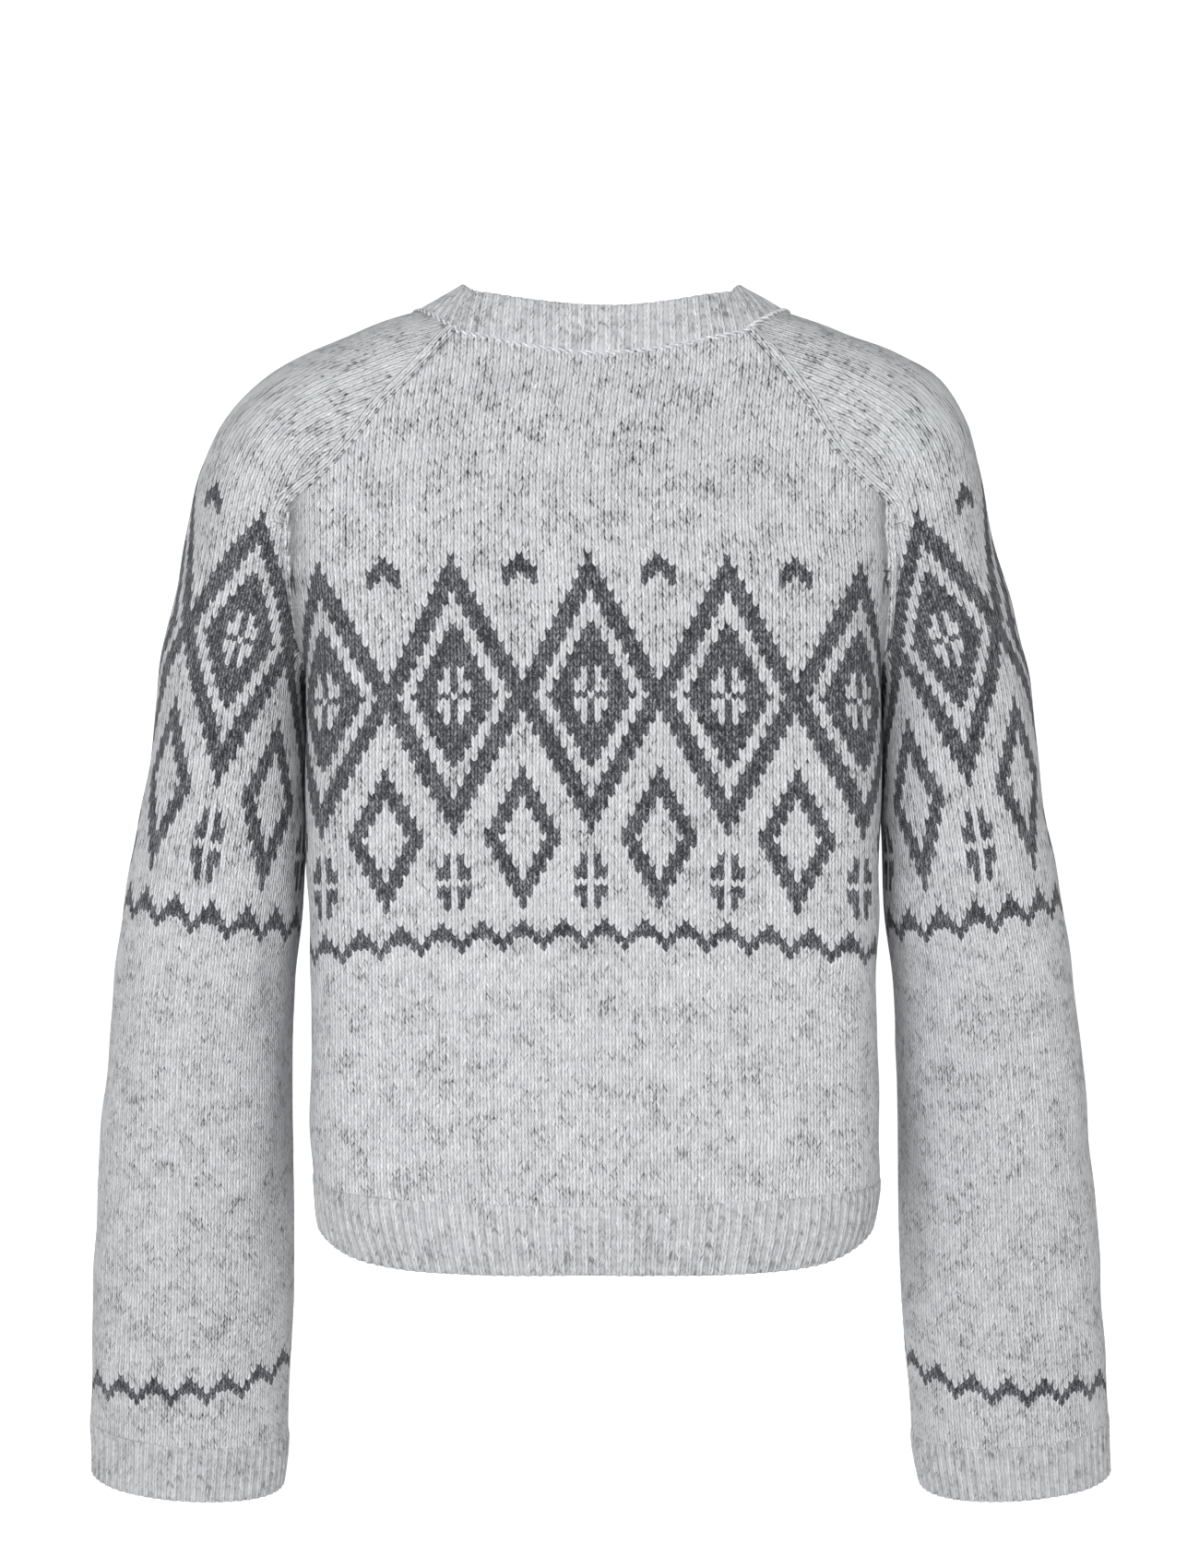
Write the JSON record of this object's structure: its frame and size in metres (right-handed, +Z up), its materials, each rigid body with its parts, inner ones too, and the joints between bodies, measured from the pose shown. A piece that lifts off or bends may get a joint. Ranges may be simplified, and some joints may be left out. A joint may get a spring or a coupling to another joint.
{
  "type": "knitted cardigan",
  "caption": "Cropped raglan cardigan in grey knit with dark stranded diamonds, buttoned up and filled out as if worn, with ribbed neck, hem, cuffs and front bands.",
  "frame": {"origin": "middle of the neck opening, level with the neckband's high points at the shoulders, where the garment hangs on the neck and shoulders", "axes": "+Z up along the wearer's height, the front faces -Y, the wearer's left is +X"},
  "size_m": [0.5951, 0.2262, 0.6906],
  "materials": {
    "knit_grey": "brushed stockinette knit",
    "knit_rib": "brushed single rib knit",
    "button_horn": "dark horn-like, satin"
  },
  "bodies": {
    "root": {"back": "knit_grey", "front_left": "knit_grey", "front_right": "knit_grey", "sleeve_left": "knit_grey", "sleeve_right": "knit_grey", "rib_hem_back": "knit_rib", "rib_hem_left": "knit_rib", "rib_hem_right": "knit_rib", "neckband": "knit_rib", "cuff_left": "knit_rib", "cuff_right": "knit_rib", "band_buttonholes": "knit_rib", "band_buttons": "knit_rib", "button_1": "button_horn", "button_2": "button_horn", "button_3": "button_horn", "button_4": "button_horn", "button_5": "button_horn", "button_6": "button_horn"}
  },
  "joints": []
}
